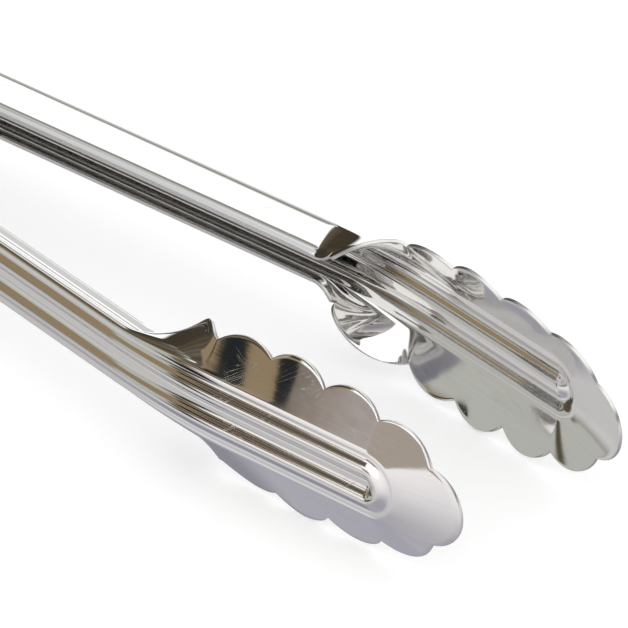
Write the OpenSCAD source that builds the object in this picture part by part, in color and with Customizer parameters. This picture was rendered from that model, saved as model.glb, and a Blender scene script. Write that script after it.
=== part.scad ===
// Spring loaded kitchen tongs.
// Two pressed sheet arms turn on a rivet behind the hand. A torsion spring opens them.
// Z is the pivot axis, X points at the jaws and the origin is the middle of the pivot.
// Each arm is a flat blank with a scalloped end, folded and pressed: blank() gives the
// outline of the flat sheet and formed() says where a point of the sheet ends up.

/* [Sheet] */
// Thickness of the sheet
sheet_t = 0.8; // [0.6:0.1:1.0]
// Width across the back of an arm
back_w = 15.1; // [14:0.1:17]
// Outer radius of the fold between back and side wall
fold_r = 0.95; // [0.9:0.05:1.2]

/* [Arm] */
// Distance from the pivot to the first notch of the jaw
arm_len = 229.4; // [180:0.5:300]
// Distance from the pivot to the outer face of the back
back_rise = 12.2; // [11.5:0.1:14]
// Width of the folded side wall
wall_w = 5.25; // [4:0.05:6]
// How far the side wall leans in over the channel, in degrees
wall_lean = 41.5; // [20:0.5:48]
// Width of the straight lip along the side wall
lip_w = 1.75; // [1.2:0.05:2.5]
// Angle of each arm from the middle plane when the tongs are open
open_angle = 5; // [4:0.1:7]

/* [Hairpin bead] */
// Height of the pressed bead along the arm
bead_h = 0.9; // [0.4:0.05:1.2]
// Height of the bead in the jaw
jaw_bead_h = 1.15; // [0.6:0.05:1.4]
// Distance between the two crests of the bead
bead_pitch = 7; // [6:0.1:8]
// Width of one leg of the bead along the arm
bead_w = 4.6; // [4:0.1:5]
// Width of the bead in the jaw
jaw_bead_w = 6.2; // [5:0.1:6.2]
// Length over which the bead rises behind the hand
bead_fade = 12; // [8:1:20]
// Distance from the first notch to the centre of the bead's round end
bead_reach = 43.9; // [30:0.1:46]

/* [Jaw] */
// How far the jaw is bent in from the line of the arm, in degrees
jaw_bend = 9.7; // [6:0.1:12]
// Length over which the arm bends into the jaw
bend_len = 34; // [24:1:40]
// Distance from the first notch back to the middle of that bend
bend_back = 12; // [6:0.5:20]
// Radius of the fold between the back and the wing
jaw_fold_r = 4; // [1:0.1:5]
// Slope of the wing beside the first scallop, in degrees
wing_slope = 28; // [18:0.5:32]
// Slope of the wing in the middle of the jaw
wing_slope_mid = 21; // [14:0.5:26]
// Slope of the cup in front of the bead, at the tip
tip_slope = 8.5; // [4:0.1:16]
// Distance from one notch to the next
scallop_pitch = 14.9; // [13:0.1:16]
// Height of a scallop above its notches
scallop_h = 3.4; // [1.5:0.1:4]
// Height of the first scallop
first_scallop_h = 2.7; // [1.5:0.1:4]
// Half width of the blank at each side notch, from the arm to the tip
notch_w = [15.4, 16.8, 15.9, 14.8];
// Half width of the blank where the tip scallop starts
tip_notch_w = 9.1; // [8:0.1:10]
// Distance from the centre of the bead's round end to the tip notch
tip_notch_reach = 15.3; // [14:0.1:17]
// Height of the round tip scallop
tip_h = 7.6; // [6:0.1:9]

/* [Flare] */
// Length over which the side wall opens out into the wing
flare_len = 26; // [24:0.1:32]
// Length of the lobe that the flare ends in
lobe_len = 19.3; // [17:0.1:22]
// Height of that lobe
lobe_h = 3.9; // [2:0.1:5]
// Half width of the blank in the crease behind the lobe
crease_w = 15.4; // [14.5:0.1:16]
// How far the lobe leans back towards the hinge, 1 for a round lobe
lobe_lean = 1.7; // [1:0.1:2]
// Length over which the lip runs out
lip_fade = 4.5; // [3:0.5:9]

/* [Hinge] */
// Radius of the ears around the pivot
ear_r = 8; // [7:0.1:9]
// Straight stretch between an ear and the turning side wall
ear_run = 5; // [4:0.5:8]
// Length over which the ears turn into the leaning side walls
ear_fade = 18; // [12:1:26]
// Radius of the bend at the closed end of each arm
heel_r = 4.2; // [3.6:0.1:5]
// Width of the flange around that bend
heel_flange = 3; // [2:0.1:3.2]
// Slit between the ear and the bend
heel_slit = 0.35; // [0.3:0.05:0.8]
// Play between the inner and the outer ear on each side
ear_play = 0.15; // [0.1:0.05:0.3]
// Gap left where the two closed ends stop each other
stop_gap = 0.3; // [0.2:0.05:0.5]

/* [Rivet] */
// Diameter of the rivet
rivet_d = 4; // [3:0.1:5]
// Running play between rivet and ears, on the radius
rivet_play = 0.05; // [0.02:0.01:0.1]
// Diameter of the made head
head_d = 8.4; // [7:0.1:10]
// Height of the made head
head_h = 1.5; // [1:0.1:2.2]
// Diameter of the head closed at assembly
closed_head_d = 7; // [6:0.1:8.4]
// Height of the head closed at assembly
closed_head_h = 1.2; // [0.8:0.1:1.8]
// Wall of the spacer tube between the inner ears
tube_wall = 0.9; // [0.6:0.1:1.2]

/* [Spring] */
// Diameter of the spring wire
wire_d = 1.6; // [1.2:0.1:1.8]
// Number of whole turns in the coil
turns = 5; // [3:1:5]
// Play between the coil and the spacer tube, on the radius
coil_play = 0.3; // [0.2:0.05:0.5]
// Distance from the pivot to the foot of each leg
leg_len = 29; // [22:1:31]
// Length of the foot that lies along the back
foot_len = 5; // [3:0.5:8]
// Play between a leg and the back it lies on
leg_play = 0.1; // [0.05:0.05:0.3]
// Gap between neighbouring turns, as a share of the wire
turn_gap = 0.04; // [0.02:0.01:0.1]

/* [Hidden] */
steel = [0.76, 0.76, 0.75];
spring_steel = [0.66, 0.66, 0.67];
rivet_steel = [0.72, 0.72, 0.71];
step = 0.02;              // how far the sheet's slope is sampled to each side

// Widths at the hinge, from the outside in
outer_ear_z = back_w/2;
inner_ear_z = outer_ear_z - sheet_t - ear_play;
inner_room_z = inner_ear_z - sheet_t;

// Stations along the blank, measured from the pivot
bead_end = arm_len + bead_reach;
bend_start = arm_len - bend_back - bend_len/2;
flare_start = arm_len - flare_len;
lobe_start = arm_len - lobe_len;
ear_front = ear_r*sqrt(2) + back_rise - wall_depth();
ear_line = ear_r/sqrt(2);
fade_start = ear_front + ear_run;
fade_end = fade_start + ear_fade;
bead_start = fade_end - 2;
heel_start = -ear_r - heel_slit;
heel_bend = heel_r*PI/2;
heel_x = -heel_start + heel_r;
heel_drop = back_rise - heel_r - tan(open_angle)*heel_x - stop_gap/2;
heel_end = heel_start - heel_bend - heel_drop;

// Depth of the channel below the back, where the walls lean
function wall_depth() = fold_r*(1 + sin(wall_lean)) + wall_w*cos(wall_lean) + lip_w;

// Runs from 0 to 1 with rounded ends
function ramp(t, soft = 0.15) =
    t <= 0 ? 0 :
    t < soft ? t*t/(2*soft*(1 - soft)) :
    t < 1 - soft ? (t - soft/2)/(1 - soft) :
    t < 1 ? 1 - (1 - t)*(1 - t)/(2*soft*(1 - soft)) : 1;
function mix(a, b, t) = a + (b - a)*t;
function unit(v) = v/norm(v);

// Half width of the flat of the back; the inner arm narrows between the outer ears
function flat_w(x, hinge_z) =
    mix(hinge_z, back_w/2, ramp((x - fade_start)/ear_fade, 0.3)) - fold_r;

// Fold angle of the side wall: upright ears, leaning walls, then the open wing
function wall_fold(x) =
    x < flare_start ? 90 + wall_lean*ramp((x - fade_start)/ear_fade, 0.3) :
    x < arm_len + 1 ? mix(90 + wall_lean, wing_slope, ramp((x - flare_start)/flare_len, 0.1)) :
    mix(wing_slope, wing_slope_mid, ramp((x - arm_len)/(1.5*scallop_pitch)));
// Around the tip the cup gets flatter
function cup_fold(x, turn) = mix(wall_fold(x), tip_slope, cos(turn)*cos(turn));

// Radius of the fold beside the back
function fold_radius(x) = mix(fold_r, jaw_fold_r, ramp((x - flare_start)/flare_len));

// Fold angle of the lip back to upright
function lip_fold(x) =
    wall_lean*ramp((x - fade_start)/ear_fade, 0.3)*(1 - ramp((x - flare_start)/lip_fade));

// The bead's height, and its half width
function bead_rise(x) =
    mix(bead_h, jaw_bead_h, ramp((x - flare_start)/flare_len))*ramp((x - bead_start)/bead_fade, 0.3);
function bead_half(x) = mix(bead_w, jaw_bead_w, ramp((x - flare_start)/flare_len))/2;
function bead(x, s) =
    let (q = abs(s - bead_pitch/2)/bead_half(x))
    q < 1 ? bead_rise(x)*(1 + cos(180*q))/2 : 0;

// Where a strip of the blank s away from the middle line ends up, as [across, depth]
function section(x, s, fold, hinge_z) =
    let (
        flat = flat_w(x, hinge_z),
        r = fold_radius(x),
        bend = r*fold*PI/180,
        turn = s < flat ? 0 : min(fold, (s - flat)/r*180/PI),
        foot = [min(s, flat) + r*sin(turn), r*(1 - cos(turn))],
        up = max(0, s - flat - bend),
        lip = lip_fold(x),
        lip_bend = 2*sheet_t*lip*PI/180,
        lip_turn = up < wall_w ? 0 : min(lip, (up - wall_w)/(2*sheet_t)*180/PI),
        side = foot + min(up, wall_w)*[cos(fold), sin(fold)],
        curl = 2*sheet_t*[sin(fold) - sin(fold - lip_turn), cos(fold - lip_turn) - cos(fold)],
        rest = max(0, up - wall_w - lip_bend)
    )
    side + curl + rest*[cos(fold - lip), sin(fold - lip)] + bead(x, s)*[sin(turn), -cos(turn)];

// The middle line of the back, as [x, y, inward x, inward y]
function back_line(x) =
    let (
        u = heel_start - x,
        a = min(90, max(0, u)/heel_r*180/PI),
        past = max(0, u - heel_bend),
        b = x - bend_start,
        drop = tan(jaw_bend)*(b < 0 ? 0 : b < bend_len ? b*b/(2*bend_len) : b - bend_len/2)
    )
    u <= 0 ? [x, back_rise - drop, 0, -1] :
    [heel_start - heel_r*sin(a), back_rise - heel_r*(1 - cos(a)) - past, sin(a), -cos(a)];

// Where the point [bx, bz] of the flat blank ends up
function formed(bx, bz, hinge_z) =
    let (
        fan = bx > bead_end,
        s = fan ? norm([bx - bead_end, bz]) : abs(bz),
        turn = fan ? atan2(abs(bz), bx - bead_end) : 90,
        x = min(bx, bead_end),
        fold = fan ? cup_fold(x, turn) : wall_fold(x),
        p = section(x, s, fold, hinge_z),
        l = back_line(x + p[0]*cos(turn))
    )
    [l[0] + p[1]*l[2], l[1] + p[1]*l[3], sign(bz)*p[0]*sin(turn)];

// The same point on the inner face of the sheet
function formed_inside(bx, bz, hinge_z) =
    let (
        z = abs(bz) < step ? step : bz,
        along = formed(bx + step, z, hinge_z) - formed(bx - step, z, hinge_z),
        across = formed(bx, z + step, hinge_z) - formed(bx, z - step, hinge_z),
        n = unit(cross(across, along)),
        flat_n = abs(bz) < step ? [n[0], n[1], 0] : n
    )
    formed(bx, bz, hinge_z) - sheet_t*unit(flat_n);

// Point t of the arc from a to b that stands h above its chord; lean moves its top towards a
function arc_point(a, b, h, t, lean = 1) =
    let (
        c = norm(b - a)/2,
        r = (c*c + h*h)/(2*h),
        half = asin(min(1, c/r)),
        u = (b - a)/(2*c),
        v = [-u[1], u[0]],
        w = mix(-half, half, t),
        along = pow(max(0, (1 + r*sin(w)/c)/2), lean)
    )
    a + 2*c*along*u + (r*cos(w) - r + h)*v;

// Half width of the blank beside the ears
function ear_depth(x) =
    x < ear_line ? back_rise + sqrt(max(0, ear_r*ear_r - x*x)) :
    max(back_rise + ear_r*sqrt(2) - x, wall_depth());
function ear_blank(x, hinge_z) =
    flat_w(x, hinge_z) + fold_r*(PI/2 - 1) + ear_depth(x);
function heel_blank(hinge_z) =
    hinge_z - fold_r + fold_r*(PI/2 - 1) + heel_flange;
function strip_blank() =
    back_w/2 - fold_r + fold_r*(90 + wall_lean)*PI/180 + wall_w + 2*sheet_t*wall_lean*PI/180 + lip_w;

// Notches of the blank, and the heights of the scallops between them
notches = concat([[lobe_start, crease_w]],
    [for (i = [0:3]) [arm_len + i*scallop_pitch, notch_w[i]]]);
heights = [lobe_h, first_scallop_h, scallop_h, scallop_h];
leans = [lobe_lean, 1, 1, 1];
tip_notch = [bead_end + tip_notch_reach, tip_notch_w];

// Stations of the blank from the closed end to the last side notch, as [x, half width]
function stations(hinge_z) = concat(
    [[heel_end, heel_blank(hinge_z)]],
    [for (i = [0:4]) [heel_start - heel_bend*(1 - i/4), heel_blank(hinge_z)]],
    [for (i = [0:7]) let (x = -ear_r*cos(i*135/7)) [x, ear_blank(x, hinge_z)]],
    [for (x = [(ear_line + ear_front)/2, ear_front, fade_start]) [x, ear_blank(x, hinge_z)]],
    [for (i = [1:5]) let (x = mix(fade_start, fade_end, i/5))
        [x, mix(ear_blank(fade_start, hinge_z), strip_blank(), ramp(i/5, 0.3))]],
    [for (x = [bead_start + bead_fade, mix(fade_end, flare_start, 0.6), flare_start]) [x, strip_blank()]],
    [for (t = [0.5, 0.9]) [mix(flare_start, lobe_start, t), strip_blank()]],
    [for (k = [0:3]) for (i = [0:(k == 0 ? 9 : 6)])
        arc_point(notches[k], notches[k + 1], heights[k], i/(k == 0 ? 10 : 7), leans[k])],
    [[bead_end, notches[4][1]]]
);

// Ends of the spokes that fan out around the tip
fan_half = concat(
    [for (i = [1:6]) arc_point(notches[4], tip_notch, scallop_h, i/7)],
    [for (i = [0:4]) arc_point(tip_notch, [tip_notch[0], -tip_notch[1]], tip_h, i/8)]
);
fan = concat(fan_half, [for (i = [len(fan_half) - 2:-1:0]) [fan_half[i][0], -fan_half[i][1]]]);

// Where the points of one section lie, from the middle line (0) to the rim
function splits(x, w, fold, hinge_z) =
    let (
        flat = min(flat_w(x, hinge_z), w*0.6),
        inner = bead_pitch/2 - bead_half(x),
        crest = bead_pitch/2,
        r = fold_radius(x),
        bend = r*fold*PI/180,
        left = w - flat - bend,
        wall = min(wall_w, left*0.6),
        lip_bend = min(2*sheet_t*wall_lean*PI/180, left*0.15)
    )
    [0, inner, (inner + crest)/2, crest, mix(crest, flat, 0.4), mix(crest, flat, 0.75), flat,
        flat + bend/2, flat + bend, flat + bend + wall, flat + bend + wall + lip_bend, w];

// A sheet arm as one closed shell: full sections up to the bead's end, then the fan
module sheet_arm(hinge_z) {
    rows = stations(hinge_z);
    half = len(splits(0, 20, 90, hinge_z)) - 1;
    cols = 2*half + 1;
    last = len(rows) - 1;
    full = len(rows)*cols;
    count = full + len(fan)*half;
    middle = last*cols + half;
    flat_points = concat(
        [for (p = rows) let (s = splits(p[0], p[1], wall_fold(p[0]), hinge_z))
            for (j = [-half:half]) [p[0], sign(j)*s[abs(j)]]],
        [for (p = fan) let (
            d = p - [bead_end, 0],
            s = splits(bead_end, norm(d), cup_fold(bead_end, atan2(abs(p[1]), d[0])), hinge_z))
            for (j = [1:half]) [bead_end, 0] + unit(d)*s[j]]
    );
    points = concat(
        [for (p = flat_points) formed(p[0], p[1], hinge_z)],
        [for (p = flat_points) formed_inside(p[0], p[1], hinge_z)]
    );
    // Index of point j of spoke k; the first and last spokes are halves of the last section
    function spoke(k, j) =
        k < 0 ? middle + j : k >= len(fan) ? middle - j : full + k*half + j - 1;
    quads = concat(
        [for (i = [0:last - 1]) for (j = [0:cols - 2])
            [i*cols + j, i*cols + j + 1, (i + 1)*cols + j + 1, (i + 1)*cols + j]],
        [for (k = [-1:len(fan) - 1]) for (j = [1:half - 1])
            [spoke(k, j), spoke(k, j + 1), spoke(k + 1, j + 1), spoke(k + 1, j)]],
        [for (k = [-1:len(fan) - 1]) [middle, spoke(k, 1), spoke(k + 1, 1)]]
    );
    rim = concat(
        [for (j = [0:cols - 1]) j],
        [for (i = [1:last]) i*cols + cols - 1],
        [for (k = [0:len(fan) - 1]) spoke(k, half)],
        [for (i = [last:-1:1]) i*cols]
    );
    walls = [for (i = [0:len(rim) - 1]) let (a = rim[i], b = rim[(i + 1) % len(rim)])
        [b, a, a + count, b + count]];
    polyhedron(points,
        concat(triangles(quads), triangles([for (f = quads) [for (i = [len(f) - 1:-1:0]) f[i] + count]]),
            triangles(walls)), convexity = 10);
}

// Each quad split along its first diagonal
function triangles(faces) = [for (f = faces) for (i = [1:len(f) - 2]) [f[0], f[i], f[i + 1]]];

module drilled_arm(hinge_z) {
    difference() {
        sheet_arm(hinge_z);
        cylinder(r = rivet_d/2 + rivet_play, h = 2*back_w, center = true, $fn = 64);
    }
}

module outer_arm() {
    color(steel) mirror([0, 1, 0]) rotate([0, 0, open_angle]) drilled_arm(outer_ear_z);
}

module inner_arm() {
    color(steel) rotate([0, 0, open_angle]) drilled_arm(inner_ear_z);
}

// Shank with a flat made head below and a closed head above, both turned
module pivot_rivet() {
    color(rivet_steel) rotate_extrude($fn = 64)
        polygon(concat(
            [[0, -outer_ear_z - head_h], [head_d/2 - head_h/2, -outer_ear_z - head_h]],
            [for (a = [30:30:90]) [head_d/2 - head_h/2 + head_h/2*sin(a),
                -outer_ear_z - head_h/2 - head_h/2*cos(a)]],
            [[head_d/2, -outer_ear_z], [rivet_d/2, -outer_ear_z]],
            [[rivet_d/2, outer_ear_z], [closed_head_d/2, outer_ear_z]],
            [for (a = [0:20:60]) [closed_head_d/2*cos(a),
                outer_ear_z + closed_head_h*(0.2 + 0.8*sin(a)/sin(60))]],
            [[0, outer_ear_z + closed_head_h]]
        ));
}

tube_r = rivet_d/2 + rivet_play + tube_wall;
module spacer_tube() {
    color(rivet_steel) difference() {
        cylinder(r = tube_r, h = 2*inner_room_z - ear_play, center = true, $fn = 64);
        cylinder(r = rivet_d/2 + rivet_play, h = 2*back_w, center = true, $fn = 64);
    }
}

// The spring's middle line: a leg on the outer arm, the coil around the tube and the other leg
coil_r = tube_r + coil_play + wire_d/2;
coil_pitch = wire_d*(1 + turn_gap);
leg_rest = back_rise - sheet_t - wire_d/2 - leg_play;
arm_dir = [cos(open_angle), sin(open_angle)];
arm_out = [-arm_dir[1], arm_dir[0]];
leg_point = leg_len*arm_dir + leg_rest*arm_out;
leg_end = leg_point + foot_len*arm_dir;
touch_angle = atan2(leg_point[1], leg_point[0]) + acos(coil_r/norm(leg_point));
coil_turn = 360*turns - 2*touch_angle;
coil_half = coil_pitch*coil_turn/360/2;
coil_steps = 14*turns;
spring_line = concat(
    [[leg_end[0], -leg_end[1], -coil_half], [leg_point[0], -leg_point[1], -coil_half]],
    [for (i = [0:coil_steps]) let (a = -touch_angle - coil_turn*i/coil_steps)
        [coil_r*cos(a), coil_r*sin(a), mix(-coil_half, coil_half, i/coil_steps)]],
    [[leg_point[0], leg_point[1], coil_half], [leg_end[0], leg_end[1], coil_half]]
);

module torsion_spring() {
    color(spring_steel) swept_wire(spring_line, wire_d/2, 8);
}

// A round wire along a line of points
module swept_wire(line, r, sides) {
    n = len(line);
    function tangent(i) = unit(line[min(n - 1, i + 1)] - line[max(0, i - 1)]);
    rings = [for (i = [0:n - 1]) let (
        t = tangent(i),
        a = unit(cross(t, [0, 0, 1])),
        b = cross(t, a))
        for (k = [0:sides - 1]) line[i] + r*(cos(360*k/sides)*a + sin(360*k/sides)*b)];
    polyhedron(rings, concat(
        [[for (k = [0:sides - 1]) k]],
        [for (i = [0:n - 2]) for (k = [0:sides - 1]) each [
            [i*sides + k, (i + 1)*sides + k, (i + 1)*sides + (k + 1) % sides],
            [i*sides + k, (i + 1)*sides + (k + 1) % sides, i*sides + (k + 1) % sides]]],
        [[for (k = [sides - 1:-1:0]) (n - 1)*sides + k]]
    ), convexity = 10);
}

outer_arm();
inner_arm();
pivot_rivet();
spacer_tube();
torsion_spring();
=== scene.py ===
"""Spring loaded kitchen tongs of pressed, polished steel.

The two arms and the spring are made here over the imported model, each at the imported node's
own size and place. The rivet and the spacer tube stay as packed and get a finish.
"""
from math import atan2, cos, acos, degrees, hypot, pi, radians, sin, sqrt, tan

import bpy
from mathutils import Matrix, Vector


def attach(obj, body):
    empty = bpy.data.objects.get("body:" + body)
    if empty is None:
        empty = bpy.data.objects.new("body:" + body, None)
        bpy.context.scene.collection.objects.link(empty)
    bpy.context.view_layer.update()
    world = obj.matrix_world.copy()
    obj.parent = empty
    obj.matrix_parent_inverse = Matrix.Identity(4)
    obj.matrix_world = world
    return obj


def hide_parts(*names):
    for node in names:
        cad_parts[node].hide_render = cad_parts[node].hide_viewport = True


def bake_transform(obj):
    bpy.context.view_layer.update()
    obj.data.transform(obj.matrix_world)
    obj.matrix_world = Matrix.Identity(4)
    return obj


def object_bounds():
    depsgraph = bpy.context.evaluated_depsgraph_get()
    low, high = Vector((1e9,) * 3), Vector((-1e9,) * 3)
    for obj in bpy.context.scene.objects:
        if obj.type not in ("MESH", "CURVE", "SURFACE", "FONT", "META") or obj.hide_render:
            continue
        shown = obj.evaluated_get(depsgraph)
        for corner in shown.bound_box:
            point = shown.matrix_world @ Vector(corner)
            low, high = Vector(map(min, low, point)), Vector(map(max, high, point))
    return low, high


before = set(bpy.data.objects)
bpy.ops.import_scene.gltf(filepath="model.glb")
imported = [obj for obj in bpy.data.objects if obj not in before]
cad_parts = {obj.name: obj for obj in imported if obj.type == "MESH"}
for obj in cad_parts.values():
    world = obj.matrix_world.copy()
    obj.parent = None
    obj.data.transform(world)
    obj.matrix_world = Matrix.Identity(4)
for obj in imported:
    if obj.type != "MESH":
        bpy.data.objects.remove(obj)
cad_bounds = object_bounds()

MM = 0.001

# ---------------------------------------------------------------- sizes, in millimetres
# They repeat the part's own sizes.
SHEET_T = 0.8
BACK_W = 15.1
FOLD_R = 0.95
ARM_LEN = 229.4
BACK_RISE = 12.2
WALL_W = 5.25
WALL_LEAN = 41.5
LIP_W = 1.75
OPEN_ANGLE = 5

BEAD_H = 0.9
JAW_BEAD_H = 1.15
BEAD_PITCH = 7
BEAD_W = 4.6
JAW_BEAD_W = 6.2
BEAD_REACH = 43.9
BEAD_LEAD = 2            # how far the beads start before the walls lean in full
BEAD_FADE = 12           # over which they rise

JAW_BEND = 9.7
BEND_LEN = 34
BEND_BACK = 12
JAW_FOLD_R = 4
WING_SLOPE = 28
WING_SLOPE_MID = 21
TIP_SLOPE = 8.5
SCALLOP_PITCH = 14.9
SCALLOP_H = 3.4
FIRST_SCALLOP_H = 2.7
NOTCH_W = (15.4, 16.8, 15.9, 14.8)
TIP_NOTCH_W = 9.1
TIP_NOTCH_REACH = 15.3
TIP_H = 7.6

FLARE_LEN = 26
LOBE_LEN = 19.3
LOBE_H = 3.9
CREASE_W = 15.4
LOBE_LEAN = 1.7
LIP_FADE = 4.5

EAR_R = 8
EAR_RUN = 5              # from the ears to where the side walls start to lean
EAR_FADE = 18
HEEL_R = 4.2
HEEL_FLANGE = 3
HEEL_SLIT = 0.35
EAR_PLAY = 0.15
STOP_GAP = 0.3

RIVET_D = 4
RIVET_PLAY = 0.05
TUBE_WALL = 0.9
WIRE_D = 1.6
TURNS = 5
COIL_PLAY = 0.3
COIL_PITCH = 1.04*WIRE_D
LEG_LEN = 29
LEG_GAP = 0.1            # between a leg's end and the arm that it pushes
FOOT_LEN = 5

EDGE_ROUND = 0.12        # rounding of the sheet's cut edges

# how finely the blank's rim is divided
SCALLOP_STEPS = 26
LOBE_STEPS = 34
TIP_STEPS = 40
EAR_STEPS = 40
EAR_TURN = 135           # the part of the ear's circle that shows, in degrees
FADE_STEPS = 24
HEEL_STEPS = 14
BORE_SIDES = 96

# ---------------------------------------------------------------- the pressed sheet
OUTER_EAR = BACK_W/2
INNER_EAR = OUTER_EAR - SHEET_T - EAR_PLAY
BEAD_END = ARM_LEN + BEAD_REACH
BEND_START = ARM_LEN - BEND_BACK - BEND_LEN/2
FLARE_START = ARM_LEN - FLARE_LEN
LOBE_START = ARM_LEN - LOBE_LEN


def sin_d(angle):
    return sin(radians(angle))


def cos_d(angle):
    return cos(radians(angle))


WALL_DEPTH = FOLD_R*(1 + sin_d(WALL_LEAN)) + WALL_W*cos_d(WALL_LEAN) + LIP_W
EAR_FRONT = EAR_R*sqrt(2) + BACK_RISE - WALL_DEPTH
EAR_LINE = EAR_R/sqrt(2)
FADE_START = EAR_FRONT + EAR_RUN
FADE_END = FADE_START + EAR_FADE
BEAD_START = FADE_END - BEAD_LEAD
HEEL_START = -EAR_R - HEEL_SLIT
HEEL_BEND = HEEL_R*pi/2
HEEL_DROP = BACK_RISE - HEEL_R - tan(radians(OPEN_ANGLE))*(HEEL_R - HEEL_START) - STOP_GAP/2
HEEL_END = HEEL_START - HEEL_BEND - HEEL_DROP


def mix(a, b, t):
    return a + (b - a)*t


def ramp(t, soft=0.15):
    """Runs from 0 to 1 with rounded ends."""
    if t <= 0:
        return 0.0
    if t < soft:
        return t*t/(2*soft*(1 - soft))
    if t < 1 - soft:
        return (t - soft/2)/(1 - soft)
    if t < 1:
        return 1 - (1 - t)*(1 - t)/(2*soft*(1 - soft))
    return 1.0


def ear_turn(x):
    """0 at the upright ears, 1 where the side walls lean in."""
    return ramp((x - FADE_START)/EAR_FADE, 0.3)


def jaw_turn(x):
    return ramp((x - FLARE_START)/FLARE_LEN)


def flat_w(x, ear_z):
    return mix(ear_z, BACK_W/2, ear_turn(x)) - FOLD_R


def wall_fold(x):
    if x < FLARE_START:
        return 90 + WALL_LEAN*ear_turn(x)
    if x < ARM_LEN + 1:
        return mix(90 + WALL_LEAN, WING_SLOPE, ramp((x - FLARE_START)/FLARE_LEN, 0.1))
    return mix(WING_SLOPE, WING_SLOPE_MID, ramp((x - ARM_LEN)/(1.5*SCALLOP_PITCH)))


def lip_fold(x):
    return WALL_LEAN*ear_turn(x)*(1 - ramp((x - FLARE_START)/LIP_FADE))


def fold_radius(x):
    return mix(FOLD_R, JAW_FOLD_R, jaw_turn(x))


def bead_half(x):
    return mix(BEAD_W, JAW_BEAD_W, jaw_turn(x))/2


def bead(x, s):
    q = abs(s - BEAD_PITCH/2)/bead_half(x)
    if q >= 1:
        return 0.0
    rise = mix(BEAD_H, JAW_BEAD_H, jaw_turn(x))*ramp((x - BEAD_START)/BEAD_FADE, 0.3)
    return rise*(1 + cos(pi*q))/2


def section(x, s, fold, ear_z):
    """Where a strip of the blank s from the middle line ends up, as across and depth."""
    flat = flat_w(x, ear_z)
    r = fold_radius(x)
    bend = r*radians(fold)
    turn = 0 if s < flat else min(fold, degrees((s - flat)/r))
    across = min(s, flat) + r*sin_d(turn)
    depth = r*(1 - cos_d(turn))
    up = max(0.0, s - flat - bend)
    lip = lip_fold(x)
    curl_r = 2*SHEET_T
    curl = 0 if up < WALL_W else min(lip, degrees((up - WALL_W)/curl_r))
    rest = max(0.0, up - WALL_W - curl_r*radians(lip))
    across += min(up, WALL_W)*cos_d(fold) + curl_r*(sin_d(fold) - sin_d(fold - curl))
    across += rest*cos_d(fold - lip)
    depth += min(up, WALL_W)*sin_d(fold) + curl_r*(cos_d(fold - curl) - cos_d(fold))
    depth += rest*sin_d(fold - lip)
    lift = bead(x, s)
    return across + lift*sin_d(turn), depth - lift*cos_d(turn)


def back_line(x):
    """The middle line of the back: a point, and the way inwards."""
    u = HEEL_START - x
    if u > 0:
        a = min(90.0, degrees(u/HEEL_R))
        past = max(0.0, u - HEEL_BEND)
        return (HEEL_START - HEEL_R*sin_d(a), BACK_RISE - HEEL_R*(1 - cos_d(a)) - past,
                sin_d(a), -cos_d(a))
    b = x - BEND_START
    run = 0 if b < 0 else b*b/(2*BEND_LEN) if b < BEND_LEN else b - BEND_LEN/2
    return x, BACK_RISE - tan(radians(JAW_BEND))*run, 0.0, -1.0


def formed(bx, bz, ear_z):
    """Where the point of the flat blank ends up once it is folded and pressed."""
    fan = bx > BEAD_END
    s = hypot(bx - BEAD_END, bz) if fan else abs(bz)
    turn = degrees(atan2(abs(bz), bx - BEAD_END)) if fan else 90.0
    x = min(bx, BEAD_END)
    fold = wall_fold(x)
    if fan:
        fold = mix(fold, TIP_SLOPE, cos_d(turn)**2)
    across, depth = section(x, s, fold, ear_z)
    px, py, ix, iy = back_line(x + across*cos_d(turn))
    side = (bz > 0) - (bz < 0)
    return Vector((px + depth*ix, py + depth*iy, side*across*sin_d(turn)))


def arc_point(a, b, h, t, lean=1.0):
    """Point t of the arc from a to b that stands h above its chord."""
    chord = b - a
    c = chord.length/2
    r = (c*c + h*h)/(2*h)
    half = acos(max(-1.0, min(1.0, (r - h)/r)))
    u = chord/(2*c)
    v = Vector((-u.y, u.x))
    w = mix(-half, half, t)
    along = max(0.0, (1 + r*sin(w)/c)/2)**lean
    return a + 2*c*along*u + (r*cos(w) - r + h)*v


NOTCHES = [Vector((LOBE_START, CREASE_W))]
NOTCHES += [Vector((ARM_LEN + i*SCALLOP_PITCH, w)) for i, w in enumerate(NOTCH_W)]
LOBES = [(LOBE_H, LOBE_LEAN), (FIRST_SCALLOP_H, 1), (SCALLOP_H, 1), (SCALLOP_H, 1)]
TIP_NOTCH = Vector((BEAD_END + TIP_NOTCH_REACH, TIP_NOTCH_W))
STRIP_W = (BACK_W/2 - FOLD_R + FOLD_R*radians(90 + WALL_LEAN) + WALL_W
           + 2*SHEET_T*radians(WALL_LEAN) + LIP_W)


def last_scallop():
    """The last side scallop's rim, cut where the strip turns into the fan."""
    apart = 0.05
    rim = [arc_point(NOTCHES[3], NOTCHES[4], SCALLOP_H, t/SCALLOP_STEPS)
           for t in range(SCALLOP_STEPS + 1)]
    before = [p for p in rim if p.x < BEAD_END - apart]
    after = [p for p in rim if p.x > BEAD_END + apart]
    a, b = before[-1], after[0]
    cut = Vector((BEAD_END, mix(a.y, b.y, (BEAD_END - a.x)/(b.x - a.x))))
    return before, cut, after


def ear_blank(x, ear_z):
    """Half width of the blank beside the ears."""
    if x < EAR_LINE:
        depth = BACK_RISE + sqrt(max(0.0, EAR_R*EAR_R - x*x))
    else:
        depth = max(BACK_RISE + EAR_R*sqrt(2) - x, WALL_DEPTH)
    return flat_w(x, ear_z) + FOLD_R*(pi/2 - 1) + depth


def spread(start, end, count):
    return [mix(start, end, i/count) for i in range(count)]


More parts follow.
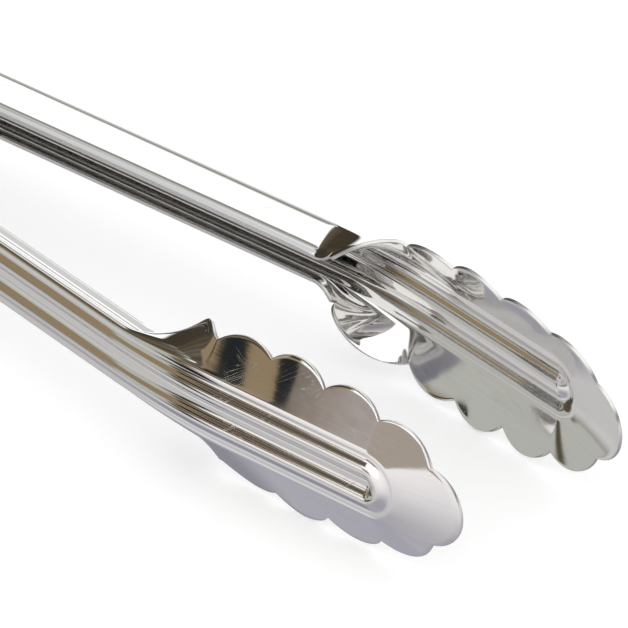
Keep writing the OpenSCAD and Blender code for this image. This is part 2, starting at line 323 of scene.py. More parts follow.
def stations(ear_z):
    """Half widths of the blank from the closed end to the last side notch."""
    heel_w = ear_z - FOLD_R + FOLD_R*(pi/2 - 1) + HEEL_FLANGE
    rows = [(x, heel_w) for x in spread(HEEL_END, HEEL_START - HEEL_BEND, 4)]
    rows += [(x, heel_w) for x in spread(HEEL_START - HEEL_BEND, HEEL_START, HEEL_STEPS)]
    rows += [(HEEL_START, heel_w)]
    ear = [-EAR_R*cos_d(a) for a in spread(0, EAR_TURN, EAR_STEPS)]
    ear += spread(EAR_LINE, EAR_FRONT, 8) + spread(EAR_FRONT, FADE_START, 4)
    rows += [(x, ear_blank(x, ear_z)) for x in ear]
    for i in range(FADE_STEPS):
        t = i/FADE_STEPS
        x = mix(FADE_START, FADE_END, t)
        rows.append((x, mix(ear_blank(FADE_START, ear_z), STRIP_W, ramp(t, 0.3))))
    rows += [(x, STRIP_W) for x in spread(FADE_END, BEAD_START + BEAD_FADE, 8)]
    rows += [(x, STRIP_W) for x in spread(BEAD_START + BEAD_FADE, BEND_START, 30)]
    rows += [(x, STRIP_W) for x in spread(BEND_START, LOBE_START, 22)]
    before, cut, _ = last_scallop()
    for k, (h, lean) in enumerate(LOBES[:3]):
        count = LOBE_STEPS if k == 0 else SCALLOP_STEPS
        points = [arc_point(NOTCHES[k], NOTCHES[k + 1], h, i/count, lean) for i in range(count)]
        rows += [(p.x, p.y) for p in points]
    return rows + [(p.x, p.y) for p in before + [cut]]


def fan():
    """Rim of the blank around the tip, from one last side notch to the other."""
    low = Vector((TIP_NOTCH.x, -TIP_NOTCH.y))
    _, _, after = last_scallop()
    half = after + [arc_point(NOTCHES[4], TIP_NOTCH, SCALLOP_H, i/SCALLOP_STEPS)
                    for i in range(1, SCALLOP_STEPS)]
    tip = [arc_point(TIP_NOTCH, low, TIP_H, i/TIP_STEPS) for i in range(TIP_STEPS + 1)]
    return half + tip + [Vector((p.x, -p.y)) for p in reversed(half)]


def splits(x, w, fold, ear_z):
    """How the points of one section are spread from the middle line to the rim."""
    flat = min(flat_w(x, ear_z), w*0.6)
    low = max(0.05, BEAD_PITCH/2 - bead_half(x))
    high = min(BEAD_PITCH/2 + bead_half(x), flat - 0.02)
    bend = fold_radius(x)*radians(fold)
    left = w - flat - bend
    wall = min(WALL_W, left*0.6)
    curl = min(2*SHEET_T*radians(WALL_LEAN), left*0.15)
    knots = [0, low, high, flat, flat + bend, flat + bend + wall, flat + bend + wall + curl, w]
    counts = [2, 18, 2, 10, 8, 5, 5]
    points = []
    for a, b, n in zip(knots, knots[1:], counts):
        points += spread(a, b, n)
    return points + [w]


def sheet_blank(ear_z):
    """The flat blank as points, faces and a rim, where the rim is a loop of points with the
    way out of the blank at each. The surface stops short of the rim by the edge's rounding."""
    rows = stations(ear_z)
    points = []
    for i, (x, w) in enumerate(rows):
        x = x + EDGE_ROUND if i == 0 else x
        s = splits(x, w - EDGE_ROUND, wall_fold(x), ear_z)
        points += [(x, -v) for v in reversed(s[1:])] + [(x, v) for v in s]
    half = len(s) - 1
    cols = 2*half + 1
    last = len(rows) - 1
    middle = last*cols + half
    full = len(rows)*cols
    spokes = fan()
    ways = []
    for p in spokes:
        d = p - Vector((BEAD_END, 0))
        turn = degrees(atan2(abs(p.y), d.x))
        fold = mix(wall_fold(BEAD_END), TIP_SLOPE, cos_d(turn)**2)
        s = splits(BEAD_END, d.length - EDGE_ROUND, fold, ear_z)
        way = d.normalized()
        ways.append((way.x, way.y))
        points += [(BEAD_END + way.x*v, way.y*v) for v in s[1:]]

    def spoke(k, j):
        if k < 0:
            return middle + j
        if k >= len(spokes):
            return middle - j
        return full + k*half + j - 1

    faces = [(i*cols + j, i*cols + j + 1, (i + 1)*cols + j + 1, (i + 1)*cols + j)
             for i in range(last) for j in range(cols - 1)]
    faces += [(spoke(k, j), spoke(k, j + 1), spoke(k + 1, j + 1), spoke(k + 1, j))
              for k in range(-1, len(spokes)) for j in range(1, half)]
    faces += [(middle, spoke(k, 1), spoke(k + 1, 1)) for k in range(-1, len(spokes))]
    rim = [(j, (-1, 0)) for j in range(cols)]
    rim += [(i*cols + cols - 1, (0, 1)) for i in range(1, last + 1)]
    rim += [(spoke(k, half), way) for k, way in enumerate(ways)]
    rim += [(i*cols, (0, -1)) for i in range(last, 0, -1)]
    return points, faces, rim


def placed(bx, bz, depth, ear_z):
    """A point of the blank, this deep under the outer face of the formed sheet."""
    step = 0.02
    z = step if abs(bz) < step else bz
    along = formed(bx + step, z, ear_z) - formed(bx - step, z, ear_z)
    across = formed(bx, z + step, ear_z) - formed(bx, z - step, ear_z)
    normal = across.cross(along)
    if abs(bz) < step:
        normal.z = 0
    return formed(bx, bz, ear_z) - depth*normal.normalized()


def formed_sheet(ear_z):
    """The closed shell of an arm: outer face, inner face and a rounded cut edge.

    Also tells where each point lies on the flat blank, and which is the first of the cut edge.
    """
    points, faces, rim = sheet_blank(ear_z)
    count = len(points)
    shell = [placed(x, z, 0, ear_z) for x, z in points]
    shell += [placed(x, z, SHEET_T, ear_z) for x, z in points]
    blank = [tuple(p) for p in points]*2
    shell_faces = faces + [tuple(i + count for i in reversed(f)) for f in faces]
    # the loops around the edge: how far out past the faces each lies, and how deep
    upper = [(EDGE_ROUND*sin_d(a), EDGE_ROUND*(1 - cos_d(a))) for a in (30, 60, 90)]
    lower = [(EDGE_ROUND*sin_d(a), SHEET_T - EDGE_ROUND*(1 + cos_d(a))) for a in (120, 150)]
    middle = [(EDGE_ROUND*sin_d(90), SHEET_T - EDGE_ROUND)]
    loops = [[i for i, _ in rim]]
    for out, sunk in upper + middle + lower:
        start = len(shell)
        for i, way in rim:
            x, z = points[i]
            shell.append(placed(x + way[0]*out, z + way[1]*out, sunk, ear_z))
            blank.append((x, z))
        loops.append(list(range(start, start + len(rim))))
    loops.append([i + count for i, _ in rim])
    for low, high in zip(loops, loops[1:]):
        for k in range(len(rim)):
            n = (k + 1) % len(rim)
            shell_faces.append((low[n], low[k], high[k], high[n]))
    return shell, shell_faces, blank, 2*count


# ---------------------------------------------------------------- making pieces
def select_only(obj):
    bpy.ops.object.select_all(action="DESELECT")
    obj.select_set(True)
    bpy.context.view_layer.objects.active = obj


def apply_modifiers(obj):
    select_only(obj)
    for modifier in list(obj.modifiers):
        bpy.ops.object.modifier_apply(modifier=modifier.name)


def smooth(obj, angle=30):
    select_only(obj)
    bpy.ops.object.shade_smooth_by_angle(angle=radians(angle))


def recalculate(obj):
    select_only(obj)
    bpy.ops.object.mode_set(mode="EDIT")
    bpy.ops.mesh.select_all(action="SELECT")
    bpy.ops.mesh.normals_make_consistent(inside=False)
    bpy.ops.object.mode_set(mode="OBJECT")


def pivot_drill(length):
    """A cylinder along the pivot that the bores are cut with."""
    bpy.ops.mesh.primitive_cylinder_add(vertices=BORE_SIDES, radius=(RIVET_D/2 + RIVET_PLAY)*MM,
                                        depth=length*MM, location=(0, 0, 0))
    return bpy.context.object


def sheet_arm(name, node, ear_z, side):
    """One pressed arm; side is 1 for the arm at +Y and -1 for its mirror image."""
    shell, faces, blank, first_cut = formed_sheet(ear_z)
    turn = Matrix.Rotation(radians(OPEN_ANGLE), 3, "Z")
    mesh = bpy.data.meshes.new(name)
    mesh.from_pydata([(p.x*MM, side*p.y*MM, p.z*MM) for p in (turn @ q for q in shell)], [], faces)
    # for the materials: where each corner lies on the flat blank, and 1 on the cut edge
    mesh.uv_layers.new(name="blank")
    mesh.attributes.new("cut_edge", "FLOAT", "CORNER")
    owners = [corner.vertex_index for corner in mesh.loops]
    flat = [value*MM for i in owners for value in blank[i]]
    mesh.uv_layers["blank"].data.foreach_set("uv", flat)
    edge = [1.0 if i >= first_cut else 0.0 for i in owners]
    mesh.attributes["cut_edge"].data.foreach_set("value", edge)
    arm = bpy.data.objects.new(name, mesh)
    bpy.context.collection.objects.link(arm)
    recalculate(arm)
    drill = pivot_drill(3*BACK_W)
    bore = arm.modifiers.new("bore", "BOOLEAN")
    bore.operation = "DIFFERENCE"
    bore.object = drill
    bore.solver = "EXACT"
    apply_modifiers(arm)
    bpy.data.objects.remove(drill)
    smooth(arm, 40)
    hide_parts(node)
    return arm


outer_arm = sheet_arm("pressed_arm_outer", "outer_arm", OUTER_EAR, -1)
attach(outer_arm, "outer_arm")
inner_arm = sheet_arm("pressed_arm_inner", "inner_arm", INNER_EAR, 1)
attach(inner_arm, "inner_arm")


# ---------------------------------------------------------------- the spring
STEPS_PER_TURN = 40


def spring_wire():
    """The coil around the spacer tube, with a leg and a foot along the back of each arm."""
    tube_r = RIVET_D/2 + RIVET_PLAY + TUBE_WALL
    coil_r = tube_r + COIL_PLAY + WIRE_D/2
    rest = BACK_RISE - SHEET_T - WIRE_D/2 - LEG_GAP
    along = Vector((cos_d(OPEN_ANGLE), sin_d(OPEN_ANGLE), 0))
    out = Vector((-along.y, along.x, 0))
    leg = LEG_LEN*along + rest*out
    end = leg + FOOT_LEN*along
    touch = atan2(leg.y, leg.x) + acos(coil_r/leg.length)
    sweep = 2*pi*TURNS - 2*touch
    half = COIL_PITCH*sweep/(2*pi)/2
    count = STEPS_PER_TURN*TURNS
    coil = []
    for i in range(count + 1):
        a = -touch - sweep*i/count
        coil.append(Vector((coil_r*cos(a), coil_r*sin(a), mix(-half, half, i/count))))
    low = [Vector((p.x, -p.y, -half)) for p in (end, leg)]
    high = [Vector((p.x, p.y, half)) for p in (leg, end)]
    # the legs get points of their own so that the bend at the foot is short
    first = [mix(low[0], low[1], t) for t in (0, 0.4, 0.8)]
    first += [mix(low[1], coil[0], t) for t in (0.03, 0.1, 0.3, 0.5, 0.7, 0.9)]
    final = [mix(coil[-1], high[0], t) for t in (0.1, 0.3, 0.5, 0.7, 0.9, 0.97)]
    final += [mix(high[0], high[1], t) for t in (0.2, 0.6, 1)]
    route = first + coil + final
    curve = bpy.data.curves.new("spring_wire", "CURVE")
    curve.dimensions = "3D"
    spline = curve.splines.new("POLY")
    spline.points.add(len(route) - 1)
    for point, p in zip(spline.points, route):
        point.co = (p.x*MM, p.y*MM, p.z*MM, 1)
    curve.bevel_depth = WIRE_D/2*MM
    curve.bevel_resolution = 6
    curve.use_fill_caps = True
    wire = bpy.data.objects.new("torsion_spring_wire", curve)
    bpy.context.collection.objects.link(wire)
    select_only(wire)
    bpy.ops.object.convert(target="MESH")
    wire = bpy.context.object
    smooth(wire, 50)
    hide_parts("torsion_spring")
    return wire


spring = spring_wire()
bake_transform(spring)


# ---------------------------------------------------------------- materials
class Graph:
    """Short forms for the nodes of one tree."""

    def __init__(self, tree):
        self.nodes = tree.nodes
        self.links = tree.links

    def add(self, kind, **settings):
        node = self.nodes.new(kind)
        for key, value in settings.items():
            setattr(node, key, value)
        return node

    def put(self, socket, value):
        if isinstance(value, (int, float)):
            socket.default_value = value
        elif isinstance(value, tuple):
            socket.default_value = (*value, 1) if len(value) < len(socket.default_value) else value
        else:
            self.links.new(value, socket)

    def math(self, operation, a, b=0.0, c=0.0):
        node = self.add("ShaderNodeMath", operation=operation)
        for socket, value in zip(node.inputs, (a, b, c)):
            self.put(socket, value)
        return node.outputs[0]

    def step(self, value, start, end):
        """0 at start, 1 at end, smooth between; start may lie above end."""
        node = self.add("ShaderNodeMapRange", interpolation_type="SMOOTHSTEP")
        self.put(node.inputs["Value"], value)
        self.put(node.inputs["From Min"], min(start, end))
        self.put(node.inputs["From Max"], max(start, end))
        self.put(node.inputs["To Min"], 0.0 if start < end else 1.0)
        self.put(node.inputs["To Max"], 1.0 if start < end else 0.0)
        return node.outputs[0]

    def mix(self, mask, a, b):
        node = self.add("ShaderNodeMix", data_type="RGBA")
        self.put(node.inputs[0], mask)
        self.put(node.inputs[6], a)
        self.put(node.inputs[7], b)
        return node.outputs[2]

    def ramp(self, value, stops):
        node = self.add("ShaderNodeValToRGB")
        band = node.color_ramp
        while len(band.elements) < len(stops):
            band.elements.new(0.5)
        for element, (place, colour) in zip(band.elements, stops):
            element.position = place
            element.color = (*colour, 1)
        self.put(node.inputs[0], value)
        return node.outputs[0]

    def parts(self, vector):
        node = self.add("ShaderNodeSeparateXYZ")
        self.put(node.inputs[0], vector)
        return node.outputs

    def scaled(self, vector, x, y, z, turned=0.0):
        """The pattern's place, turned in its own plane and then stretched to so many per metre."""
        turn = self.add("ShaderNodeVectorRotate", rotation_type="Z_AXIS")
        self.put(turn.inputs["Vector"], vector)
        self.put(turn.inputs["Angle"], radians(turned))
        node = self.add("ShaderNodeVectorMath", operation="MULTIPLY")
        self.put(node.inputs[0], turn.outputs[0])
        node.inputs[1].default_value = (x, y, z)
        return node.outputs[0]

    def noise(self, where, scale, detail=2.0, roughness=0.5):
        node = self.add("ShaderNodeTexNoise")
        self.put(node.inputs["Vector"], where)
        self.put(node.inputs["Scale"], scale)
        self.put(node.inputs["Detail"], detail)
        self.put(node.inputs["Roughness"], roughness)
        return node.outputs[0]


def new_material(name):
    material = bpy.data.materials.new(name)
    material.use_nodes = True
    material.node_tree.nodes.clear()
    return material, Graph(material.node_tree)


def new_group(name, takes, gives):
    """An empty node group; takes and gives are (name, kind) pairs."""
    tree = bpy.data.node_groups.new(name, "ShaderNodeTree")
    for title, kind in takes:
        tree.interface.new_socket(title, in_out="INPUT", socket_type=kind)
    for title, kind in gives:
        tree.interface.new_socket(title, in_out="OUTPUT", socket_type=kind)
    g = Graph(tree)
    return tree, g, g.add("NodeGroupInput").outputs, g.add("NodeGroupOutput").inputs


def grain_group():
    """Fine streaks that run along X of the given place, as rolling or drawing leaves them."""
    tree, g, takes, gives = new_group("drawn_grain", [("Place", "NodeSocketVector")],
                                      [("Streaks", "NodeSocketFloat"), ("Fine", "NodeSocketFloat")])
    g.put(gives["Streaks"], g.noise(g.scaled(takes["Place"], 28, 1150, 1150), 1.0, 3, 0.55))
    g.put(gives["Fine"], g.noise(g.scaled(takes["Place"], 110, 5200, 5200), 1.0, 2, 0.5))
    return tree


def marks_group():
    """Marks of use: hazy wiped patches, and hair-thin scratches in two directions."""
    tree, g, takes, gives = new_group("marks_of_use", [("Place", "NodeSocketVector")],
                                      [("Haze", "NodeSocketFloat"), ("Scratches", "NodeSocketFloat")])
    haze = g.noise(g.scaled(takes["Place"], 55, 95, 95, 20), 1.0, 4, 0.6)
    g.put(gives["Haze"], g.step(haze, 0.48, 0.72))
    lines = []
    for turned, width in ((24, 0.010), (-37, 0.008)):
        line = g.noise(g.scaled(takes["Place"], 42, 900, 900, turned), 1.0, 1, 0.4)
        off = g.math("ABSOLUTE", g.math("SUBTRACT", line, 0.5))
        here = g.noise(g.scaled(takes["Place"], 120, 120, 120, turned), 1.0, 1, 0.5)
        lines.append(g.math("MULTIPLY", g.step(off, width, 0.0), g.step(here, 0.54, 0.66)))
    g.put(gives["Scratches"], g.math("MAXIMUM", lines[0], lines[1]))
    return tree


def edge_group():
    """The sheared rim of a sheet: torn grain across it, and a dulled margin beside it."""
    tree, g, takes, gives = new_group("sheared_edge", [("Place", "NodeSocketVector"),
                                                       ("Cut", "NodeSocketFloat")],
                                      [("Edge", "NodeSocketFloat"), ("Torn", "NodeSocketFloat")])
    g.put(gives["Edge"], g.step(takes["Cut"], 0.15, 0.85))
    torn = g.noise(g.scaled(takes["Place"], 2600, 2600, 900), 1.0, 3, 0.6)
    g.put(gives["Torn"], g.math("MULTIPLY", torn, g.step(takes["Cut"], 0.15, 0.85)))
    return tree


def turning_group():
    """Rings around Z that a lathe tool leaves."""
    tree, g, takes, gives = new_group("turning_marks", [("Place", "NodeSocketVector")],
                                      [("Rings", "NodeSocketFloat")])
    x, y, z = g.parts(takes["Place"])
    far = g.math("SQRT", g.math("ADD", g.math("MULTIPLY", x, x), g.math("MULTIPLY", y, y)))
    wander = g.noise(takes["Place"], 700, 2, 0.5)
    rings = g.math("MULTIPLY", g.math("ADD", far, z), 26000)
    phase = g.math("ADD", rings, g.math("MULTIPLY", wander, 3))
    g.put(gives["Rings"], g.math("MULTIPLY_ADD", g.math("SINE", phase), 0.5, 0.5))
    return tree


GRAIN = grain_group()
MARKS = marks_group()
SHEARED = edge_group()
TURNED = turning_group()


def use(g, tree, **values):
    """Places a group in a material and feeds its inputs; gives back its outputs."""
    node = g.add("ShaderNodeGroup", node_tree=tree)
    for title, value in values.items():
        g.put(node.inputs[title], value)
    return node.outputs


def finish_metal(g, colour, rough, height):
    """Ends a metal material with these colour, roughness and height (in metres) patterns."""
    bump = g.add("ShaderNodeBump")
    g.put(bump.inputs["Distance"], 1.0)
    g.put(bump.inputs["Height"], height)
    shader = g.add("ShaderNodeBsdfPrincipled")
    g.put(shader.inputs["Metallic"], 1.0)
    g.put(shader.inputs["Base Color"], colour)
    g.put(shader.inputs["Roughness"], rough)
    g.put(shader.inputs["Normal"], bump.outputs[0])
    out = g.add("ShaderNodeOutputMaterial")
    g.put(out.inputs[0], shader.outputs[0])


SHEET_STEEL = (0.715, 0.708, 0.695)
STREAK_STEEL = (0.70, 0.69, 0.675)
HAZY_STEEL = (0.66, 0.655, 0.65)
DULL_STEEL = (0.60, 0.595, 0.585)
WIRE_STEEL = (0.55, 0.55, 0.545)
TINTED_WIRE = (0.44, 0.42, 0.39)
SCRATCHED_WIRE = (0.68, 0.68, 0.67)
RIVET_STEEL = (0.70, 0.70, 0.69)
RIVET_SHADE = (0.58, 0.575, 0.56)
TUBE_STEEL = (0.64, 0.63, 0.61)
TUBE_SHADE = (0.50, 0.49, 0.47)
EDGE_MARGIN = 0.55       # how far the lips' edges are rolled over
EDGE_ROLL_R = 0.95
LINE_W = 0.24            # the draw line along the middle of the back
LINE_DEPTH = 0.03
# heights of the sheet's patterns, in metres
WAVE_H = 9e-6
STREAK_H = 1.6e-6
FINE_H = 2.0e-7
SCRATCH_H = -9e-7
TORN_H = 2.2e-5


def polished_sheet():
    """Bright pressed sheet: rolling grain, slight waves, marks of use, a draw line and cut edges."""
    material, g = new_material("polished_sheet")
    blank = g.add("ShaderNodeUVMap", uv_map="blank").outputs[0]
    cut = g.add("ShaderNodeAttribute", attribute_name="cut_edge").outputs["Fac"]
    grain = use(g, GRAIN, Place=blank)
    marks = use(g, MARKS, Place=blank)
    edge = use(g, SHEARED, Place=g.add("ShaderNodeTexCoord").outputs["Object"], Cut=cut)
    along, across, _ = g.parts(blank)
    off = g.math("ABSOLUTE", across)
    on_handle = g.step(along, (FLARE_START + 2)*MM, (FLARE_START - 6)*MM)
    # the rolled-over margin of the lips
    past = g.math("MAXIMUM", g.math("SUBTRACT", off, (STRIP_W - EDGE_MARGIN)*MM), 0.0)
    rolled = g.math("DIVIDE", g.math("MULTIPLY", past, past), -2*EDGE_ROLL_R*MM)
    # the draw line
    near = g.math("DIVIDE", off, LINE_W*MM)
    line = g.math("EXPONENT", g.math("MULTIPLY", g.math("MULTIPLY", near, near), -1))
    line = g.math("MULTIPLY", line, -LINE_DEPTH*MM)
    height = g.math("MULTIPLY", g.math("ADD", rolled, line), on_handle)
    waves = g.noise(g.scaled(blank, 60, 170, 170), 1.0, 2, 0.5)
    for pattern, size in ((waves, WAVE_H), (grain["Streaks"], STREAK_H), (grain["Fine"], FINE_H),
                          (marks["Scratches"], SCRATCH_H), (edge["Torn"], TORN_H)):
        height = g.math("MULTIPLY_ADD", pattern, size, height)
    rough = g.math("MULTIPLY_ADD", marks["Haze"], 0.035, 0.045)
    rough = g.math("MULTIPLY_ADD", marks["Scratches"], 0.16, rough)
    rough = g.math("MULTIPLY_ADD", grain["Fine"], 0.02, rough)
    rough = g.math("MULTIPLY_ADD", edge["Edge"], 0.28, rough)
    bright = g.mix(g.step(grain["Streaks"], 0.35, 0.68), STREAK_STEEL, SHEET_STEEL)
    bright = g.mix(g.math("MULTIPLY", marks["Haze"], 0.25), bright, HAZY_STEEL)
    bright = g.mix(g.math("MULTIPLY", edge["Edge"], 0.8), bright, DULL_STEEL)
    finish_metal(g, bright, rough, height)
    return material


def drawn_wire():
    """Spring wire: grey, drawn lengthwise, with darker heat-tinted stretches."""
    material, g = new_material("drawn_wire")
    where = g.add("ShaderNodeTexCoord").outputs["Object"]
    marks = use(g, MARKS, Place=where)
    grain = use(g, GRAIN, Place=where)
    tint = g.step(g.noise(where, 240, 3, 0.6), 0.42, 0.66)
    colour = g.mix(tint, WIRE_STEEL, TINTED_WIRE)
    colour = g.mix(marks["Scratches"], colour, SCRATCHED_WIRE)
    rough = g.math("MULTIPLY_ADD", tint, 0.10, 0.22)
    rough = g.math("MULTIPLY_ADD", marks["Haze"], 0.08, rough)
    height = g.math("MULTIPLY", grain["Fine"], 1.2e-6)
    height = g.math("MULTIPLY_ADD", marks["Scratches"], -2e-6, height)
    finish_metal(g, colour, rough, height)
    return material


def turned_metal(name, light, deep, rough_from, ring_height):
    """Lathe-turned steel, worn brighter in patches."""
    material, g = new_material(name)
    where = g.add("ShaderNodeTexCoord").outputs["Object"]
    marks = use(g, MARKS, Place=where)
    rings = use(g, TURNED, Place=where)["Rings"]
    worn = g.step(g.noise(where, 420, 3, 0.55), 0.45, 0.62)
    colour = g.mix(worn, deep, light)
    colour = g.mix(g.math("MULTIPLY", rings, 0.18), colour, deep)
    rough = g.math("MULTIPLY_ADD", worn, -0.08, rough_from)
    rough = g.math("MULTIPLY_ADD", marks["Scratches"], 0.12, rough)
    height = g.math("MULTIPLY", rings, ring_height)
    height = g.math("MULTIPLY_ADD", marks["Scratches"], -1.5e-6, height)
    finish_metal(g, colour, rough, height)
    return material


def dress(obj, material):
    obj.data.materials.clear()
    obj.data.materials.append(material)


polished = polished_sheet()
dress(outer_arm, polished)
dress(inner_arm, polished)
dress(spring, drawn_wire())
turned_finishes = {
    "pivot_rivet": turned_metal("turned_rivet", RIVET_STEEL, RIVET_SHADE, 0.26, 1.4e-6),
    "spacer_tube": turned_metal("cut_tube", TUBE_STEEL, TUBE_SHADE, 0.34, 2.4e-6),
}
for node, finish in turned_finishes.items():
    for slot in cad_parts[node].material_slots:
        slot.material = finish


# ---------------------------------------------------------------- stage, light and camera
CAMERA_TARGET = (0.21675, 0.00975, 0)
CAMERA_DISTANCE = 1.5745
CAMERA_LENS = 437.3
CAMERA_AZIMUTH = 48.67
CAMERA_ELEVATION = 31.5
CAMERA_ROLL = -1.77


def camera_at(target, azimuth, elevation, distance, lens, roll):
    """A camera that looks at the target from there; angles in degrees, the rest in metres."""
    data = bpy.data.cameras.new("camera")
    data.sensor_width = 36
    data.lens = lens
    data.clip_end = 20
    camera = bpy.data.objects.new("camera", data)
    bpy.context.collection.objects.link(camera)
    a, e = radians(azimuth), radians(elevation)
    back = Vector((cos(e)*sin(a), -cos(e)*cos(a), sin(e)))
    side = (-back).cross(Vector((0, 0, 1))).normalized()
    up = side.cross(-back)
    t = radians(roll)
    right = cos(t)*side + sin(t)*up
    up = -sin(t)*side + cos(t)*up
    place = Matrix((right, up, back)).transposed().to_4x4()
    place.translation = Vector(target) + back*distance
    camera.matrix_world = place
    bpy.context.scene.camera = camera


camera_at(CAMERA_TARGET, CAMERA_AZIMUTH, CAMERA_ELEVATION, CAMERA_DISTANCE, CAMERA_LENS,
          CAMERA_ROLL)

# ---------------------------------------------------------------- what the steel reflects
WHITE = (1.0, 1.0, 1.0)
SOFTBOX = (1.52, 1.52, 1.51)
GREY_CEILING = (0.72, 0.72, 0.71)
COOL_CEILING = (0.84, 0.86, 0.88)
OLIVE = (0.106, 0.085, 0.049)
TAN = (0.37, 0.28, 0.167)
NAVY = (0.018, 0.022, 0.026)
MAUVE = (0.57, 0.51, 0.50)
STONE = (0.50, 0.436, 0.375)
BROWN = (0.13, 0.115, 0.105)
DEEP_BROWN = (0.124, 0.088, 0.073)
BLACK = (0.022, 0.020, 0.017)
ROOM_WALL = (0.13, 0.125, 0.12)
CORNER_GREY = (0.30, 0.30, 0.28)
LAVENDER = (0.33, 0.33, 0.385)
BRIGHT_TABLE = (0.90, 0.90, 0.93)
WINDOW = (1.15, 1.13, 1.17)
PAPER = (0.60, 0.61, 0.57)
# the table and the room below the horizon, from straight down up to it
TABLE = [(0.0, (0.46, 0.45, 0.53)), (0.38, (0.50, 0.49, 0.57)), (0.45, (0.58, 0.57, 0.62)),
         (0.54, (0.70, 0.69, 0.70)), (0.65, (0.71, 0.70, 0.695)), (0.78, (0.95, 0.94, 0.94)),
         (0.95, (1.25, 1.22, 1.22))]
# the same in front of the jaws, where the table is brighter
FRONT_TABLE = [(0.0, (0.42, 0.41, 0.48)), (0.44, (0.50, 0.49, 0.54)), (0.555, (0.71, 0.70, 0.73)),
               (0.667, (0.96, 0.94, 0.97)), (0.778, (1.12, 1.09, 1.11)), (0.92, (1.25, 1.22, 1.23))]
# the folds of the dark curtain, from one end of it to the other
CURTAIN = [(0.10, (0.060, 0.048, 0.034)), (0.40, (0.072, 0.056, 0.036)), (0.46, (0.115, 0.093, 0.060)),
           (0.50, (0.080, 0.064, 0.042)), (0.55, (0.150, 0.125, 0.085)), (0.59, (0.095, 0.078, 0.052)),
           (0.64, (0.175, 0.150, 0.105)), (0.68, (0.125, 0.105, 0.072)), (0.72, (0.185, 0.160, 0.115)),
           (0.76, (0.140, 0.118, 0.080)), (0.79, OLIVE), (0.84, OLIVE), (0.87, (0.185, 0.165, 0.125)),
           (0.92, (0.190, 0.170, 0.125))]
# Patches of the surroundings. Each runs from one turn to another around the tongs and from one
# rise above the horizon to another, all in degrees, and its sides are softened by so many.
# columns: turn from and to, rise from and to, softening of the turn and of the rise, colour
TABLE_PATCHES = [
    (203, 222, -52, -38, 3, 3, BRIGHT_TABLE),
    (155, 182, -120, -42, 8, 3, LAVENDER),
    (112, 146, -38, 20, 4, 4, WINDOW),
]
ROOM_PATCHES = [
    # a dark wall all round the rest of the room, under the softbox
    (292, 400, 5, 30, 8, 4, ROOM_WALL),
    (-40, 110, 5, 30, 8, 4, ROOM_WALL),
]
CORNER_PATCH = (138, 219, 45, 62, 1.5, 1.5)
CEILING_PATCHES = [
    (132, 190, 56, 76, 5, 3, DEEP_BROWN),
    (126, 148, 24, 37, 3, 2, COOL_CEILING),
]
WALL_PATCHES = [
    (225, 246, 10, 19, 3, 2, BROWN),
    # far wall, in line with the near jaw's wing, which mirrors only few degrees of it
    (238, 241, -2, 3, 0.1, 1, MAUVE),
    (240, 256, -14, 3, 1, 1, STONE),
    (204, 238.75, -3, 12, 0.07, 1, TAN),
    # a pale screen before it, which the far jaw mirrors, and the dark gap under its edge
    (221, 229.3, -24, 6.5, 0.8, 1, PAPER),
    (204, 222, -24, -7, 0.8, 1, PAPER),
    (224.5, 233, -29, -17, 1, 1, BLACK),
    # dark doorways in the far wall
    (229.5, 238.3, 6.2, 10.4, 0.3, 0.5, NAVY),
    (229, 238.5, -2, 1.3, 0.07, 0.3, NAVY),
]
# The dark curtain hangs from here, in degrees above the horizon, and is lower further round:
# each step is the turn where it starts, where it ends, and by how much.
CURTAIN_TOP = 43
CURTAIN_STEPS = [(198, 210, 5), (212, 220, 8), (220, 232, 18)]


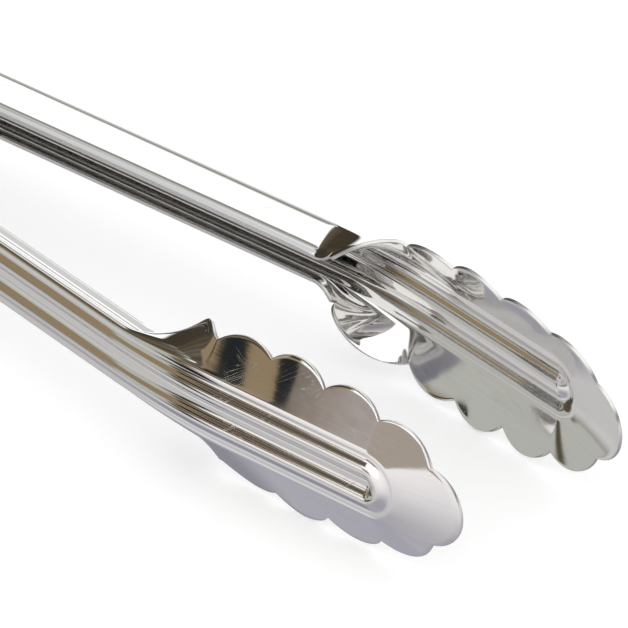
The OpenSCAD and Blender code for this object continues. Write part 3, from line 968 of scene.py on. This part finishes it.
def studio_world():
    """White for the camera; for the steel a white ceiling over a dark room and a pale table."""
    world = bpy.data.worlds.new("studio")
    bpy.context.scene.world = world
    world.use_nodes = True
    g = Graph(world.node_tree)
    g.nodes.clear()
    way = g.add("ShaderNodeTexCoord").outputs["Generated"]
    x, y, z = g.parts(way)
    # rise is 0 at the horizon and 90 straight up
    rise = g.math("DEGREES", g.math("ARCSINE", z))
    # turn is 180 at -X and grows towards -Y
    back = g.math("ARCTAN2", g.math("MULTIPLY", y, -1), g.math("MULTIPLY", x, -1))
    turn = g.math("ADD", g.math("DEGREES", back), 180)

    def box(t0, t1, r0, r1, soft_t, soft_r):
        sides = g.math("MULTIPLY", g.step(turn, t0 - soft_t, t0 + soft_t),
                       g.step(turn, t1 + soft_t, t1 - soft_t))
        ends = g.math("MULTIPLY", g.step(rise, r0 - soft_r, r0 + soft_r),
                      g.step(rise, r1 + soft_r, r1 - soft_r))
        return g.math("MULTIPLY", sides, ends)

    def patched(look, patches):
        for *place, colour in patches:
            look = g.mix(box(*place), look, colour)
        return look

    table = g.ramp(g.math("ADD", g.math("DIVIDE", rise, 90), 1), TABLE)
    front = g.ramp(g.math("ADD", g.math("DIVIDE", rise, 90), 1), FRONT_TABLE)
    table = patched(table, TABLE_PATCHES)
    table = g.mix(g.step(turn, 230, 242), table, front)
    look = g.mix(g.step(rise, -4, 4), table, SOFTBOX)
    look = patched(look, ROOM_PATCHES)
    corner = g.mix(g.step(turn, 150, 216), GREY_CEILING, CORNER_GREY)
    look = g.mix(box(*CORNER_PATCH), look, corner)
    look = patched(look, CEILING_PATCHES)
    top = CURTAIN_TOP
    for start, end, drop in CURTAIN_STEPS:
        top = g.math("SUBTRACT", top, g.math("MULTIPLY", g.step(turn, start, end), drop))
    dark = g.math("MULTIPLY", g.step(g.math("SUBTRACT", top, rise), -3, 3),
                  g.step(rise, -29, -21))
    dark = g.math("MULTIPLY", dark, g.step(turn, 144, 150))
    dark = g.math("MULTIPLY", dark, g.step(turn, 237, 230))
    curtain = g.ramp(g.math("DIVIDE", g.math("SUBTRACT", turn, 140), 100), CURTAIN)
    look = g.mix(dark, look, curtain)
    look = patched(look, WALL_PATCHES)
    steel_sees = g.add("ShaderNodeBackground")
    g.put(steel_sees.inputs["Color"], look)
    camera_sees = g.add("ShaderNodeBackground")
    g.put(camera_sees.inputs["Color"], WHITE)
    rays = g.add("ShaderNodeLightPath")
    chosen = g.add("ShaderNodeMixShader")
    g.put(chosen.inputs[0], rays.outputs["Is Glossy Ray"])
    g.put(chosen.inputs[1], camera_sees.outputs[0])
    g.put(chosen.inputs[2], steel_sees.outputs[0])
    out = g.add("ShaderNodeOutputWorld")
    g.put(out.inputs[0], chosen.outputs[0])


FLOOR_SIZE = 6
FLOOR_X = 0.15
FLOOR_GAP = 0.0002       # between the tongs and the floor
FLOOR_PAINT = (0.9, 0.9, 0.9)
FLOOR_LIFT = 0.27        # what the floor glows with for the camera


def studio_floor():
    """Pale floor that keeps the tongs' shadow; the steel sees the table's colour in its place."""
    floor_z = cad_bounds[0][2] - FLOOR_GAP
    bpy.ops.mesh.primitive_plane_add(size=FLOOR_SIZE, location=(FLOOR_X, 0, floor_z))
    floor = bpy.context.object
    floor.name = "floor"
    material, g = new_material("pale_floor")
    paper = g.add("ShaderNodeBsdfDiffuse")
    g.put(paper.inputs["Color"], FLOOR_PAINT)
    lift = g.add("ShaderNodeEmission")
    g.put(lift.inputs["Strength"], FLOOR_LIFT)
    rays = g.add("ShaderNodeLightPath")
    lit = g.add("ShaderNodeAddShader")
    g.put(lit.inputs[0], paper.outputs[0])
    g.put(lit.inputs[1], lift.outputs[0])
    seen = g.add("ShaderNodeMixShader")
    g.put(seen.inputs[0], rays.outputs["Is Camera Ray"])
    g.put(seen.inputs[1], paper.outputs[0])
    g.put(seen.inputs[2], lit.outputs[0])
    clear = g.add("ShaderNodeBsdfTransparent")
    chosen = g.add("ShaderNodeMixShader")
    g.put(chosen.inputs[0], rays.outputs["Is Glossy Ray"])
    g.put(chosen.inputs[1], seen.outputs[0])
    g.put(chosen.inputs[2], clear.outputs[0])
    out = g.add("ShaderNodeOutputMaterial")
    g.put(out.inputs[0], chosen.outputs[0])
    dress(floor, material)


studio_floor()
studio_world()

scene = bpy.context.scene
scene.view_settings.view_transform = "Standard"
